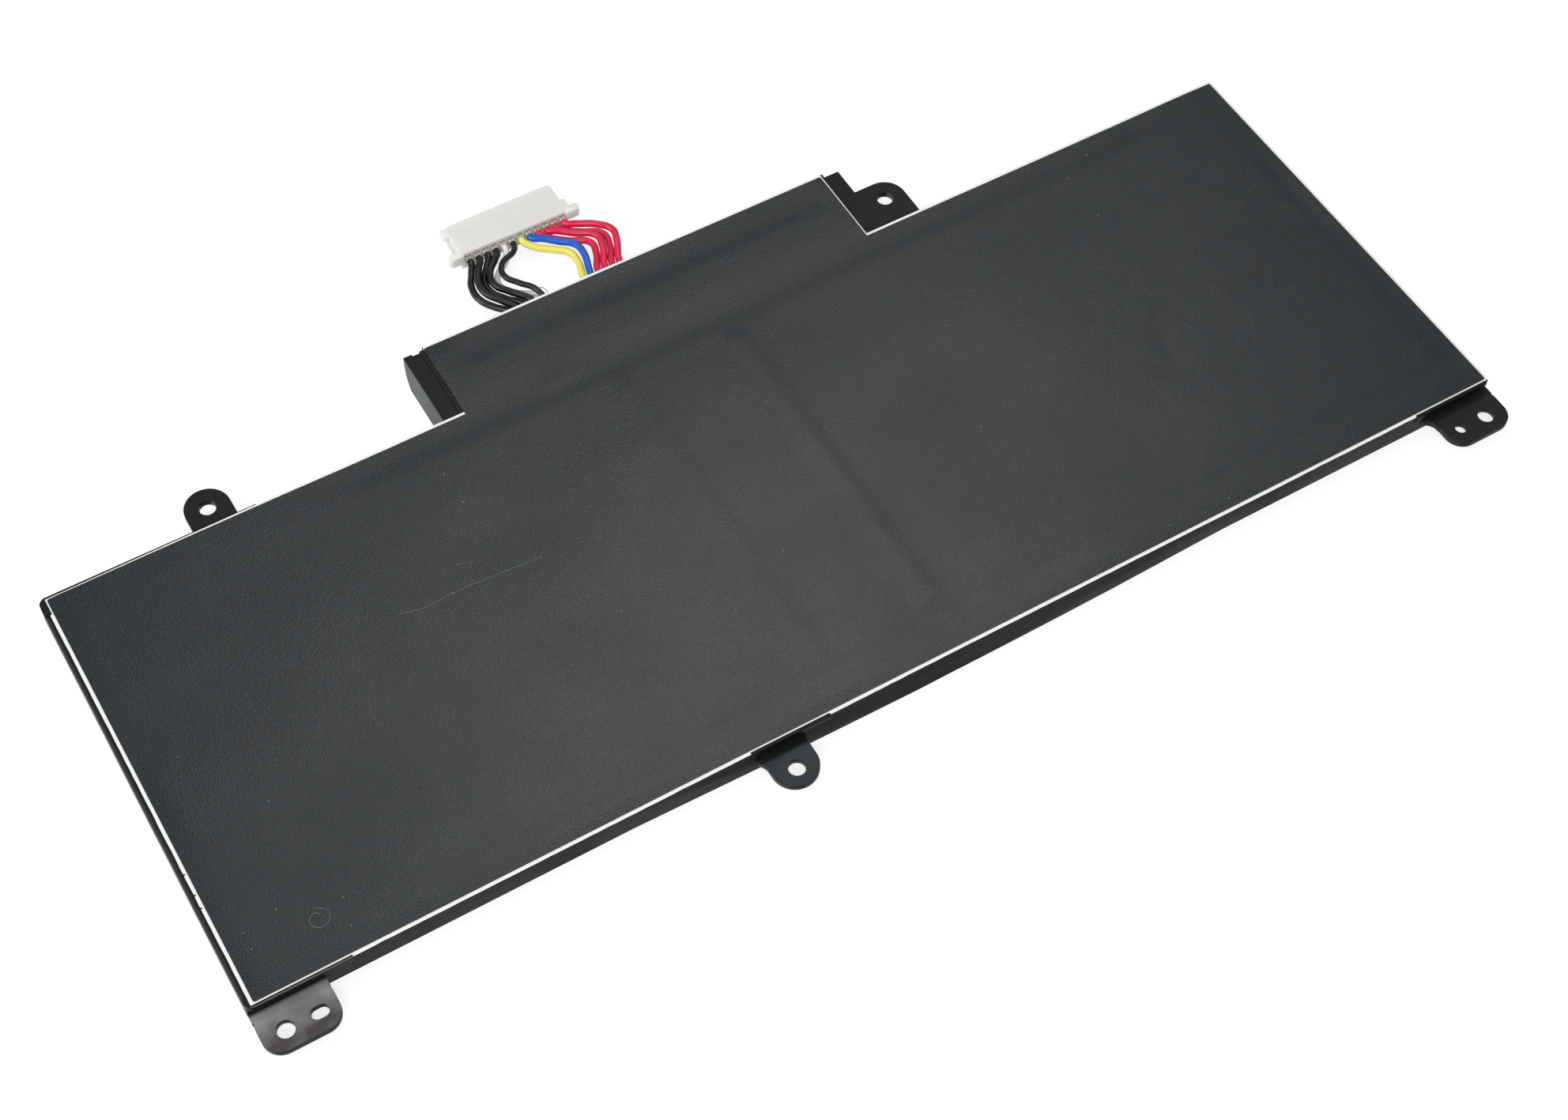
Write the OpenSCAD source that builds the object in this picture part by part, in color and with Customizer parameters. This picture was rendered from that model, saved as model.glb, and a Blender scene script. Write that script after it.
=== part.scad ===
// Flat battery pack for a tablet: moulded frame with screw ears, film covers, two pouch cells,
// a protection board in the tab at the back edge, and twelve short leads to a plug.
// The origin is the centre of the main body's underside, +X along the pack, +Y to the tab, +Z up.

/* [Body] */
// Length of the main body along X, without the ears
body_l = 170; // [160:1:200]
// Width of the main body along Y, without the tab and the ears
body_w = 60; // [54:1:80]
// Height of the pack from the underside film to the top film
pack_h = 3.6; // [3.4:0.1:6]
// Radius of the main body's corners in plan
corner_r = 1; // [0.5:0.1:1.2]
// How far the front wall's foot bows out at its fullest
foot_bow = 0.65; // [0.2:0.05:1.5]
// Length of that bow
foot_bow_l = 82; // [40:1:120]
// Place along X where that foot is fullest
foot_bow_x = 3; // [-15:1:15]

/* [Frame walls] */
// Thickness of the front wall
front_wall = 1.2; // [1:0.1:2]
// Thickness of the back wall
back_wall = 1.2; // [1:0.1:2]
// Thickness of the left and right walls
side_wall = 1.6; // [1.3:0.1:2.5]
// Thickness of the two ribs between the cells
rib_t = 0.8; // [0.5:0.1:1.5]
// Width of the channel between those ribs
channel_w = 15.2; // [10:0.2:18]

/* [Tab] */
// Outer length of the tab along X
tab_l = 61.9; // [58:0.1:66]
// How far the tab stands out behind the main body
tab_w = 11.85; // [11.4:0.05:15]
// Offset of the tab's middle from the body's middle
tab_x = -0.95; // [-4:0.05:4]
// Width of the bare land on the tab's left wall
tab_land = 2.8; // [1.5:0.1:4]
// Width of the ledge beside that land, which carries the films
land_ledge = 0.8; // [0.5:0.1:1.5]
// How far the foot of the tab's left wall leans out
tab_lean = 0.55; // [0.3:0.05:1.2]
// How far the land stops short of the tab's back
land_short = 0.5; // [0.2:0.1:1]
// Distance from the films to the fine groove along the land
groove_in = 0.5; // [0.3:0.1:1]
// Thickness of the tab's right wall
tab_right_wall = 1.2; // [0.9:0.1:2]
// Thickness of the tab's back wall
tab_back_wall = 1.1; // [0.8:0.1:1.4]

/* [Films] */
// Thickness of each film and of the white sheet
film_t = 0.1; // [0.05:0.05:0.15]
// Width of the white sheet that shows beside the top film
white_edge = 0.43; // [0.3:0.01:0.5]
// Distance from the body's left side to the top film
film_in_left = 1.05; // [0.9:0.05:1.5]
// Distance from the outline to the top film at the front, the back and the right
film_in = 0.45; // [0.45:0.05:0.8]
// Distance from the tab's right side to the top film
film_in_tab = 0.6; // [0.45:0.05:1]
// Distance from the frame's outline to the underside film
under_in = 0.5; // [0.3:0.1:1]

/* [Ears] */
// Thickness of every ear
ear_t = 0.9; // [0.7:0.1:1.2]
// Height of the top face of the front ears
front_ear_z = 1.9; // [1.5:0.1:2.4]
// Height of the top face of the back ears
back_ear_z = 2.6; // [1.5:0.1:3]
// Diameter of the screw holes
screw_hole_d = 2.1; // [1.6:0.1:2.4]
// Diameter of the locating pin hole, and width of the locating slot
pin_hole_d = 1.5; // [1:0.1:1.8]
// End-to-end length of the locating slot
pin_slot_l = 2.1; // [1.9:0.1:2.8]
// How far the front ears stand out from the front wall
front_reach = 5.7; // [5.4:0.1:7]
// Distance from the front wall to the front holes
front_hole_out = 3.3; // [2.8:0.1:3.6]
// Width of the two corner ears
corner_ear_w = 9.15; // [8.8:0.05:11]
// Radius of the corner ears' corners
corner_ear_r = 2.3; // [1.5:0.1:2.6]
// Distance from the body's end to the screw hole of a corner ear
screw_in = 2.85; // [2.5:0.05:3.2]
// Distance from the screw hole to the locating hole
pin_pitch = 4.0; // [3.5:0.1:4.3]
// Width of the middle front ear
mid_ear_w = 5.85; // [5:0.05:7]
// Radius of the fillet at the left root of the middle and the right ear
ear_root_r = 2; // [1:0.1:2.4]
// Place of the middle front ear along X
mid_ear_x = -18.65; // [-30:0.05:-15]
// Width of the round back ear
back_ear_w = 5.8; // [5:0.1:7]
// Place of the round back ear along X
back_ear_x = -62.2; // [-75:0.1:-50]
// Distance from the back wall to the round back ear's hole
back_hole_out = 3.1; // [2.8:0.1:5]
// Distance from the tab's right wall to the side ear's hole
side_hole_x = 5.4; // [5:0.1:7]
// Distance from the body's back wall to the side ear's hole
side_hole_y = 4.6; // [4:0.1:6]
// Radius of the side ear's round corner, which is centred on its hole
side_ear_r = 2.95; // [2.2:0.05:3.5]
// Width of the side ear's strip along the tab
side_strip = 2.5; // [1.5:0.1:3]

/* [Lips] */
// How far the raised lips stand proud of the walls
lip_proud = 0.2; // [0.1:0.05:0.4]
// How far the lips reach inwards over the walls
lip_in = 0.22; // [0.15:0.01:0.3]
// Length of the front lip at the left corner
left_lip_l = 12.5; // [10:0.1:16]
// Length of the front lip at the right corner
right_lip_l = 11.7; // [10:0.1:16]
// Length of the front lip at the middle ear
mid_lip_l = 10.5; // [8:0.1:14]
// Distance from the middle ear to the middle of its lip
mid_lip_off = 1.15; // [0:0.05:2]
// Length of the back left corner's lip along the left wall
back_lip_l = 2.6; // [1.5:0.1:4]
// Length of that lip's tapered tail along the back wall
back_lip_tail = 28; // [10:1:60]
// Height of the slot between an ear and the lip above it
slot_h = 0.9; // [0.5:0.1:1.2]
// Depth of that slot
slot_depth = 0.45; // [0.2:0.05:0.6]

/* [Cells] */
// Gap between a cell and the walls round it
cell_gap = 0.2; // [0.1:0.05:0.4]
// Depth of the sealed terrace at the back of a cell
terrace_w = 3; // [2.5:0.1:5]
// Width of the folded seam along the front of a cell
seam_w = 3.2; // [2:0.1:4]
// Thickness of the sealed terrace and of the weld pads
terrace_t = 0.3; // [0.2:0.05:0.5]
// Radius of a cell's long edges
cell_edge_r = 1.2; // [0.8:0.1:1.4]
// Width of the cell tabs
cell_tab_w = 4; // [3:0.5:6]
// Thickness of the cell tabs
cell_tab_t = 0.1; // [0.05:0.05:0.2]
// Width of the tape strips under the cells
tape_w = 20; // [10:1:24]

/* [Board] */
// Thickness of the protection board
board_t = 0.6; // [0.5:0.1:1]
// Height of the ledges that carry the board
board_ledge = 0.6; // [0.5:0.1:0.8]
// Gap between the board and the walls round it
board_gap = 0.4; // [0.2:0.1:0.6]
// Height of the tallest chips on the board
chip_h = 0.9; // [0.7:0.05:1]

/* [Leads] */
// Diameter of the power and data leads
lead_d = 0.95; // [0.7:0.05:1]
// Diameter of the two thin leads
thin_lead_d = 0.8; // [0.6:0.05:0.85]

/* [Plug] */
// Distance between neighbouring contacts
pitch = 1.25; // [1.2:0.01:1.3]
// Place of the plug's middle along X
plug_x = -10; // [-11:0.1:-9]
// Distance from the tab's back to the plug's wire face
plug_gap = 11.55; // [11.4:0.05:12.2]
// Depth of the housing from its wire face to its mating face
plug_depth = 5.3; // [5:0.1:7]
// Height of the housing's underside above the pack's
plug_base = 0.3; // [0:0.1:0.6]
// Height of the housing
plug_h = 2.7; // [2.6:0.1:3.3]
// Width of each contact cavity
cavity_w = 0.95; // [0.9:0.05:1]
// Height of each contact cavity
cavity_h = 1.3; // [1.2:0.1:1.5]
// How far each wing stands out beside the housing
wing_out = 1.65; // [1:0.05:2]

/* [Hidden] */
$fn = 48;
eps = 0.01;

// Heights
frame_z = film_t;
rim_z = pack_h - 2 * film_t;
frame_h = rim_z - frame_z;

// Outlines of the body and the tab
left = -body_l / 2;
right = body_l / 2;
front = -body_w / 2;
back = body_w / 2;
tab_left = tab_x - tab_l / 2;
tab_right = tab_x + tab_l / 2;
tab_back = back + tab_w;

// Bays inside the frame
bay_left = left + side_wall;
bay_right = right - side_wall;
bay_front = front + front_wall;
bay_back = back - back_wall;
board_bay_left = tab_left + tab_land + land_ledge;
board_bay_right = tab_right - tab_right_wall;
board_bay_back = tab_back - tab_back_wall;
bay_h = pack_h + 2;

// Board
board_left = board_bay_left + board_gap;
board_right = board_bay_right - board_gap;
board_front = back + 1;
board_back = board_bay_back - board_gap;
board_z = frame_z + board_ledge;
board_top = board_z + board_t;
sill_w = 2;

// Cells
tape_t = film_t;
cell_z = frame_z + tape_t;
cell_h = rim_z - cell_gap / 2 - cell_z;
seam_t = 0.5;
cell_bay_start = channel_w / 2 + rib_t;
cell_l = bay_right - cell_bay_start - 2 * cell_gap;
cell_left_x = bay_left + cell_gap;
cell_right_x = cell_bay_start + cell_gap;
cell_front = bay_front + cell_gap + seam_w;
terrace_y = bay_back - terrace_w;
cell_w = terrace_y - cell_front;
terrace_end = terrace_y + terrace_w;
terrace_z = board_top + terrace_t - cell_tab_t / 2 - terrace_t / 2 + cell_tab_t;
cell_tab_z = board_top + terrace_t;
weld_y = board_front + 0.6;
weld_w = 2.6;
cell_tab_end = weld_y + weld_w;
outer_tab_x = 24;
inner_tab_x = 12;

// Leads: each route runs from the plug to the board, with Y counted from the tab's back
lead_exit_z = 1.8;
lead_low = 1.5;
lead_high = 2.1;
barrel_out = 0.5;
plug_y = tab_back + plug_gap;
lead_start = plug_y - barrel_out;
lead_end = board_back - 1;
board_end = lead_end - tab_back;
notch_left = -18.5;
notch_right = 3;
notch_z = lead_exit_z - lead_d / 2 - 0.2;
routes = [
    [[-17.5, 9.35, lead_low], [-18.6, 7.15, lead_low], [-18.6, 4.75, lead_low],
        [-17.5, 2.75, lead_low], [-16.3, 0.95, lead_exit_z], [-15.7, board_end, lead_exit_z]],
    [[-16.4, 9.35, lead_high], [-17.6, 7.15, lead_high], [-17.65, 4.95, lead_high],
        [-16.5, 2.95, lead_high], [-15.15, 1.05, lead_exit_z], [-14.55, board_end, lead_exit_z]],
    [[-15.2, 9.45, lead_low], [-16.6, 7.45, lead_low], [-16.8, 5.35, lead_low],
        [-15.6, 3.25, lead_low], [-14.1, 1.15, lead_exit_z], [-13.45, board_end, lead_exit_z]],
    [[-13.9, 9.55, lead_high], [-15.6, 7.75, lead_high], [-16, 5.65, lead_high],
        [-14.8, 3.65, lead_high], [-13, 1.45, lead_exit_z], [-12.35, board_end, lead_exit_z]],
    [[-12.6, 9.15, 1.4], [-14.8, 7.35, 1.1], [-15.1, 5.65, 1.1],
        [-13.7, 3.65, 1.2], [-11.6, 1.85, 1.45], [-10.2, board_end, 1.8]],
    [[-11.3, 9.45, 2.1], [-13.6, 8.15, 2.3], [-14.3, 6.25, 2.3],
        [-13.2, 4.25, 2.3], [-11.8, 2.15, 2.4], [-11.3, board_end, 1.8]],
    [[-8.3, 9.15, lead_low], [-6.6, 7.75, lead_low], [-4.8, 6.05, lead_low],
        [-4.6, 4.15, lead_low], [-5.3, 1.55, lead_exit_z], [-5.6, board_end, lead_exit_z]],
    [[-7, 9.55, lead_high], [-5.5, 8.15, lead_high], [-3.7, 6.45, lead_high],
        [-3.5, 4.55, lead_high], [-4.2, 1.55, lead_exit_z], [-4.5, board_end, lead_exit_z]],
    [[-6, 9.75, lead_low], [-4.1, 8.05, lead_low], [-1.6, 6.25, lead_low],
        [-1.8, 4.45, lead_low], [-3.1, 1.55, lead_exit_z], [-3.4, board_end, lead_exit_z]],
    [[-4.8, 9.85, lead_high], [-3, 8.35, lead_high], [-0.6, 6.55, lead_high],
        [-0.8, 4.45, lead_high], [-2.05, 1.55, lead_exit_z], [-2.35, board_end, lead_exit_z]],
    [[-3.6, 9.85, lead_low], [-1.9, 8.55, lead_low], [0.5, 6.85, lead_low],
        [0.3, 4.55, lead_low], [-1, 1.55, lead_exit_z], [-1.3, board_end, lead_exit_z]],
    [[-2.1, 9.7, lead_high], [0.3, 8.25, lead_high], [1.7, 6.45, lead_high],
        [1.35, 4.55, lead_high], [0.05, 1.55, lead_exit_z], [-0.25, board_end, lead_exit_z]]
];

ways = len(routes);
function contact_x(i) = plug_x + (i - (ways - 1) / 2) * pitch;

// Chips, in a row behind the weld pads
chip_row_y = board_back - 2.6;
cap_row_y = weld_y + weld_w + 0.8;
gauge_x = notch_right + 3.2;
fuse_x = board_right - 6;
switch_pitch = 4.5;
cap_pitch = 3;
foam_w = 4;

// Colours as the photograph shows them
frame_colour = "#2b2d2e";
film_colour = "#3c3f40";
sheet_colour = "#eef0f0";
foil_colour = "#b9bcc0";
nickel_colour = "#c9c6bd";
board_colour = "#1f6b45";
chip_colour = "#202124";
foam_colour = "#3a3a3c";
nylon_colour = "#e6e4e0";
tin_colour = "#a8a49c";
ceramic_colour = "#8a7358";
black = "#232427";
red = "#c8243c";

// A rectangle given by its corners, with true round corners
module round_box(x0, y0, x1, y1, r) {
    translate([x0 + r, y0]) square([x1 - x0 - 2 * r, y1 - y0]);
    translate([x0, y0 + r]) square([x1 - x0, y1 - y0 - 2 * r]);
    for (x = [x0 + r, x1 - r], y = [y0 + r, y1 - r])
        translate([x, y]) circle(r);
}

// The triangles of a closed solid made of rings of points, one ring after another
function swept_faces(last, sides) = concat(
    [for (i = [0:last - 1], k = [0:sides - 1])
        let (n = (k + 1) % sides, a = i * sides, b = a + sides)
        each [[a + k, b + k, b + n], [a + k, b + n, a + n]]],
    [[for (k = [0:sides - 1]) k], [for (k = [sides - 1:-1:0]) last * sides + k]]);

// A block given by its lowest and highest corners
module block(a, b) {
    translate(a) cube([b[0] - a[0], b[1] - a[1], b[2] - a[2]]);
}

// The outline of body and tab together, moved in by a margin for each side
module pack_outline(in_left, in_side, in_tab, r, tab_start = tab_left + tab_land + 0.05) {
    round_box(left + in_left, front + in_side, right - in_side, back - in_side, r);
    round_box(tab_start, back - 5, tab_right - in_tab, tab_back - in_side, r);
}

// The front wall's foot bows out, from nothing at the rim
module bowed_front() {
    steps = 12;
    arc = [for (i = [-steps:steps]) let (u = i / steps)
        [foot_bow_x + u * foot_bow_l / 2, front - foot_bow * (1 - u * u)]];
    hull() {
        translate([0, 0, frame_z]) linear_extrude(0.1) polygon(arc);
        translate([foot_bow_x - foot_bow_l / 2, front, rim_z - 0.2]) cube([foot_bow_l, 0.3, 0.1]);
    }
}

// The tab's left wall: a sharp arris over a foot that leans out and dies away at the back corner
module leaning_wall() {
    foot_corner = 2.6;
    land_back = tab_back - land_short;
    straight_end = land_back - foot_corner;
    inner = tab_left + tab_land;
    profile = [[tab_left, pack_h], [tab_left - tab_lean, frame_z], [inner, frame_z], [inner, pack_h]];
    translate([0, straight_end, 0]) rotate([90, 0, 0])
        linear_extrude(straight_end - back + 0.2) polygon(profile);
    hull() {
        translate([0, straight_end, 0]) rotate([90, 0, 0]) linear_extrude(eps) polygon(profile);
        block([tab_left, land_back - eps, frame_z], [inner, land_back, pack_h]);
    }
}

// The land ends at the back wall, with a notch in its back edge and a fine groove along it
module land_cuts() {
    notch_at = tab_left + 1.2;
    groove_at = tab_left + tab_land - groove_in;
    groove = 0.12;
    block([tab_left - 1, back - 1, rim_z], [tab_left + tab_land, back, pack_h + 1]);
    block([notch_at, tab_back - land_short - 0.3, rim_z - 1], [notch_at + 1, tab_back, pack_h + 1]);
    block([groove_at - groove, back, pack_h - groove], [groove_at, tab_back, pack_h + 1]);
}

// Each front lip's ends along X, and each front ear's ends along X
front_lips = [[left, left + left_lip_l],
    [mid_ear_x + mid_lip_off - mid_lip_l / 2, mid_ear_x + mid_lip_off + mid_lip_l / 2],
    [right - right_lip_l, right]];
front_slots = [[left - 1, left + corner_ear_w], [mid_ear_x - mid_ear_w / 2, mid_ear_x + mid_ear_w / 2],
    [right - corner_ear_w, right + 1]];

// The lips along the front wall: their lands lie level with the top film, and they fade below
module front_lip_bars() {
    bevel = 0.08;
    lip_z = front_ear_z + slot_h;
    intersection() {
        for (x = front_lips) translate([x[0], 0, 0]) rotate([90, 0, 90]) linear_extrude(x[1] - x[0])
            polygon([[front + lip_in, lip_z - slot_h], [front - lip_proud, lip_z],
                [front - lip_proud, pack_h - bevel], [front - lip_proud + bevel, pack_h],
                [front + lip_in, pack_h]]);
        linear_extrude(pack_h) round_box(left, front - lip_proud, right, 0, corner_r);
    }
}

// The slots between the front ears and the lips above them
module ear_slots() {
    for (x = front_slots)
        block([x[0], front - 1, front_ear_z], [x[1], front + slot_depth, front_ear_z + slot_h]);
}

// The lip round the back left corner in plan, with its long tapered tail
module back_lip_plan(more = 0) {
    x_in = left + film_in_left - white_edge / 2 + more;
    y_in = back - lip_in - more;
    translate([left, back - back_lip_l - more]) square([x_in - left, back_lip_l + more]);
    polygon([[left, back], [left, y_in], [x_in + 1, y_in],
        [left + back_lip_tail, back - more], [left + back_lip_tail, back]]);
}

module back_lip() {
    translate([0, 0, rim_z - 0.5]) linear_extrude(pack_h - rim_z + 0.5) intersection() {
        back_lip_plan();
        round_box(left, front, right, back, corner_r);
    }
}

// The outer top edge of the left wall is broken by a bevel
module left_bevel() {
    size = 0.3;
    translate([0, back - back_lip_l, 0]) rotate([90, 0, 0]) linear_extrude(body_w - back_lip_l - 1.4)
        polygon([[left - 1, rim_z - size - 1], [left - 1, rim_z + 1], [left + size + 1, rim_z + 1]]);
}

// A corner ear seen in plan, for the left end; the right one is its mirror image
module corner_ear_plan() {
    round_box(left, front - front_reach, left + corner_ear_w, front + 0.5, corner_ear_r);
    translate([left, front - 1]) square([corner_ear_w, 1.5]);
}

// The fillet between an ear's left side and the front wall, in plan
module root_fillet(x) {
    difference() {
        translate([x - ear_root_r, front - ear_root_r]) square([ear_root_r + eps, ear_root_r + 0.2]);
        translate([x - ear_root_r, front - ear_root_r]) circle(ear_root_r);
    }
}

module front_ears() {
    mid_left = mid_ear_x - mid_ear_w / 2;
    translate([0, 0, front_ear_z - ear_t]) linear_extrude(ear_t) {
        corner_ear_plan();
        mirror([1, 0]) corner_ear_plan();
        translate([mid_ear_x, front - front_reach + mid_ear_w / 2]) circle(d = mid_ear_w);
        translate([mid_left, front - front_reach + mid_ear_w / 2])
            square([mid_ear_w, front_reach - mid_ear_w / 2 + 0.5]);
        root_fillet(mid_left);
        root_fillet(right - corner_ear_w);
    }
}

module back_ears() {
    side_x = tab_right + side_hole_x;
    side_y = back + side_hole_y;
    translate([0, 0, back_ear_z - ear_t]) linear_extrude(ear_t) {
        translate([back_ear_x, back + back_hole_out]) circle(d = back_ear_w);
        translate([back_ear_x - back_ear_w / 2, back - 0.5]) square([back_ear_w, back_hole_out + 0.5]);
        translate([tab_right - 0.5, back - 0.5])
            square([side_strip + 0.5, tab_w + 0.5]);
        translate([side_x, side_y]) circle(side_ear_r);
        translate([tab_right - 0.5, back - 0.5])
            square([side_hole_x + side_ear_r + 0.5, side_hole_y + 0.5]);
        translate([tab_right - 0.5, back - 0.5])
            square([side_hole_x + 0.5, side_hole_y + side_ear_r + 0.5]);
    }
}

module screw_hole(x, y, z) {
    translate([x, y, z - ear_t - 1]) cylinder(d = screw_hole_d, h = ear_t + 2);
}

// The screw holes of all five ears, and the locating hole and slot of the corner ears
module ear_holes() {
    hole_y = front - front_hole_out;
    for (side = [-1, 1]) screw_hole(side * (body_l / 2 - screw_in), hole_y, front_ear_z);
    screw_hole(mid_ear_x, hole_y, front_ear_z);
    screw_hole(back_ear_x, back + back_hole_out, back_ear_z);
    screw_hole(tab_right + side_hole_x, back + side_hole_y, back_ear_z);
    pin_in = body_l / 2 - screw_in - pin_pitch;
    slot_half = (pin_slot_l - pin_hole_d) / 2;
    translate([0, hole_y, front_ear_z - ear_t - 1]) {
        translate([pin_in, 0, 0]) cylinder(d = pin_hole_d, h = ear_t + 2);
        for (side = [-1, 1]) translate([-pin_in + side * slot_half, 0, 0])
            cylinder(d = pin_hole_d, h = ear_t + 2);
        translate([-pin_in - slot_half, -pin_hole_d / 2, 0]) cube([2 * slot_half, pin_hole_d, ear_t + 2]);
    }
}

// The room for the cells and the board, open above and below, with rounded corners
module bays() {
    translate([0, 0, -1]) linear_extrude(bay_h) {
        round_box(bay_left, bay_front, bay_right, bay_back, 2 * cell_gap);
        round_box(board_bay_left, back, board_bay_right, board_bay_back, board_gap);
        translate([board_bay_left, bay_back - eps])
            square([board_bay_right - board_bay_left, back_wall + board_gap + eps]);
    }
    block([notch_left, board_bay_back - 1, notch_z], [notch_right, tab_back + 1, bay_h]);
}

// Ribs and ledges that stand inside the bays
module inner_ribs() {
    for (x = [-channel_w / 2 - rib_t, channel_w / 2])
        block([x, bay_front - 0.2, frame_z], [x + rib_t, terrace_y, rim_z]);
    block([board_bay_left - 0.2, back - 0.8, frame_z],
        [board_bay_right + 0.2, back - 0.8 + sill_w, frame_z + board_ledge]);
    block([board_bay_left - 0.2, board_bay_back - 1.2, frame_z],
        [board_bay_right + 0.2, board_bay_back + 0.2, frame_z + board_ledge]);
    for (x = [board_bay_left - 0.2, board_bay_right - 1.2])
        block([x, back, frame_z], [x + 1.4, board_bay_back, frame_z + board_ledge]);
}

// The moulded frame, in one piece with its five ears
module frame() {
    color(frame_colour) {
        difference() {
            union() {
                translate([0, 0, frame_z]) linear_extrude(frame_h) {
                    round_box(left, front, right, back, corner_r);
                    translate([tab_left + tab_land, back - 1]) square([tab_l - tab_land, tab_w + 1]);
                }
                bowed_front();
                leaning_wall();
                front_lip_bars();
                back_lip();
                front_ears();
                back_ears();
            }
            bays();
            ear_slots();
            ear_holes();
            land_cuts();
            left_bevel();
        }
        inner_ribs();
    }
}

module top_sheet() {
    clear = 0.03;
    color(sheet_colour) translate([0, 0, rim_z]) linear_extrude(film_t) difference() {
        pack_outline(film_in_left - white_edge, film_in - white_edge, film_in_tab - white_edge / 2, 0.4);
        for (x = front_lips)
            translate([x[0] - clear, front - 1]) square([x[1] - x[0] + 2 * clear, 1 + lip_in + clear]);
        back_lip_plan(clear);
        translate([tab_left - 1, back]) square([tab_land + 1 + clear, tab_w + 1]);
    }
}

module top_film() {
    color(film_colour) translate([0, 0, rim_z + film_t]) linear_extrude(film_t)
        pack_outline(film_in_left, film_in, film_in_tab, 0.25);
}

module bottom_film() {
    color(film_colour) linear_extrude(film_t)
        pack_outline(under_in, under_in, under_in, 1, tab_left + under_in);
}

// A pouch cell: a body with rounded long edges, a folded seam along its front
// and a flat sealed terrace at the back
module pouch_cell(x) {
    inset = 0.5;
    color(foil_colour) {
        translate([x, cell_front, cell_z]) rotate([90, 0, 90]) linear_extrude(cell_l)
            round_box(0, 0, cell_w, cell_h, cell_edge_r);
        block([x, cell_front - seam_w, cell_z], [x + cell_l, cell_front + cell_edge_r, cell_z + seam_t]);
        block([x + inset, terrace_y - cell_edge_r, terrace_z],
            [x + cell_l - inset, terrace_end, terrace_z + terrace_t]);
    }
}

module cell_left() { pouch_cell(cell_left_x); }
module cell_right() { pouch_cell(cell_right_x); }

// Two tape strips under one cell
module cell_tape(x) {
    inset = 3;
    middle = cell_front + cell_w / 2;
    color(foam_colour) for (side = [-1, 1]) let (y = middle + side * cell_w / 4)
        block([x + inset, y - tape_w / 2, frame_z], [x + cell_l - inset, y + tape_w / 2, cell_z]);
}

module cell_tape_left() { cell_tape(cell_left_x); }
module cell_tape_right() { cell_tape(cell_right_x); }

// A flat tab that leaves the terrace and lies on its weld pad
module cell_tab(x) {
    color(nickel_colour)
    block([x - cell_tab_w / 2, terrace_end, cell_tab_z],
        [x + cell_tab_w / 2, cell_tab_end, cell_tab_z + cell_tab_t]);
}

module cell_left_plus() { cell_tab(-outer_tab_x); }
module cell_left_minus() { cell_tab(-inner_tab_x); }
module cell_right_plus() { cell_tab(inner_tab_x); }
module cell_right_minus() { cell_tab(outer_tab_x); }

module series_link() {
    color(nickel_colour)
    block([-inner_tab_x - cell_tab_w / 2 - 0.5, weld_y, board_top],
        [inner_tab_x + cell_tab_w / 2 + 0.5, weld_y + weld_w, board_top + terrace_t]);
}

module weld_pads() {
    color(nickel_colour) for (side = [-1, 1])
        block([side * outer_tab_x - cell_tab_w / 2 - 0.5, weld_y, board_top],
            [side * outer_tab_x + cell_tab_w / 2 + 0.5, weld_y + weld_w, board_top + terrace_t]);
}

module protection_board() {
    color(board_colour) block([board_left, board_front, board_z], [board_right, board_back, board_top]);
}

// A chip that stands on the board, given by its middle, its length, its depth and its height
module chip(x, y, l, d, h) {
    block([x - l / 2, y - d / 2, board_top], [x + l / 2, y + d / 2, board_top + h]);
}

module gauge_chip() { color(chip_colour) chip(gauge_x, chip_row_y, 4, 4, chip_h); }
module switch_transistors() {
    color(chip_colour) for (i = [0, 1])
        chip(fuse_x - 6 - i * switch_pitch, chip_row_y, 3, 3, chip_h - 0.1);
}
module protector_fuse() { color(sheet_colour) chip(fuse_x, chip_row_y, 4, 3, chip_h); }
module sense_resistor() { color(chip_colour) chip(notch_left - 2.2, chip_row_y, 3.2, 1.6, 0.6); }
module thermistor() { color(nylon_colour) chip(board_left + 2.2, chip_row_y, 1.6, 0.8, 0.8); }

module chip_capacitors() {
    color(ceramic_colour) for (i = [0:5]) chip(gauge_x + i * cap_pitch, cap_row_y, 1, 0.5, 0.5);
}

// A tinned blob at the board end of each lead
module solder_joints() {
    color(tin_colour) for (route = routes) let (x = route[len(route) - 1][0])
        block([x - 0.4, lead_end - 1.3, board_top], [x + 0.4, lead_end, board_top + 0.8]);
}

module board_foam() {
    color(foam_colour)
    block([gauge_x - 2, chip_row_y - foam_w / 2, board_top + chip_h],
        [board_right - 1, chip_row_y + foam_w / 2, rim_z]);
}

// A tube through a list of points, closed at both ends
module tube(points, d, sides = 8) {
    last = len(points) - 1;
    function unit(v) = v / norm(v);
    function along(i) = unit(points[min(i + 1, last)] - points[max(i - 1, 0)]);
    rings = [for (i = [0:last]) let (t = along(i), s = unit(cross(t, [0, 0, 1])), u = cross(s, t))
        for (k = [0:sides - 1]) let (a = 360 * (k + 0.5) / sides)
            points[i] + (d / 2) * (cos(a) * s + sin(a) * u)];
    polyhedron(rings, swept_faces(last, sides));
}

// One lead: it leaves its crimp straight, follows its route and ends straight on the board
module lead(i, shade, d = lead_d) {
    straight = [0, 0.4, 0];
    start = [contact_x(i), lead_start, lead_exit_z];
    route = [for (p = routes[i]) p + [0, tab_back, 0]];
    last = len(route) - 1;
    middle = [for (k = [0:last - 1]) route[k]];
    color(shade) tube(concat([start, start - straight], middle, [route[last] + straight, route[last]]), d);
}

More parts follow.
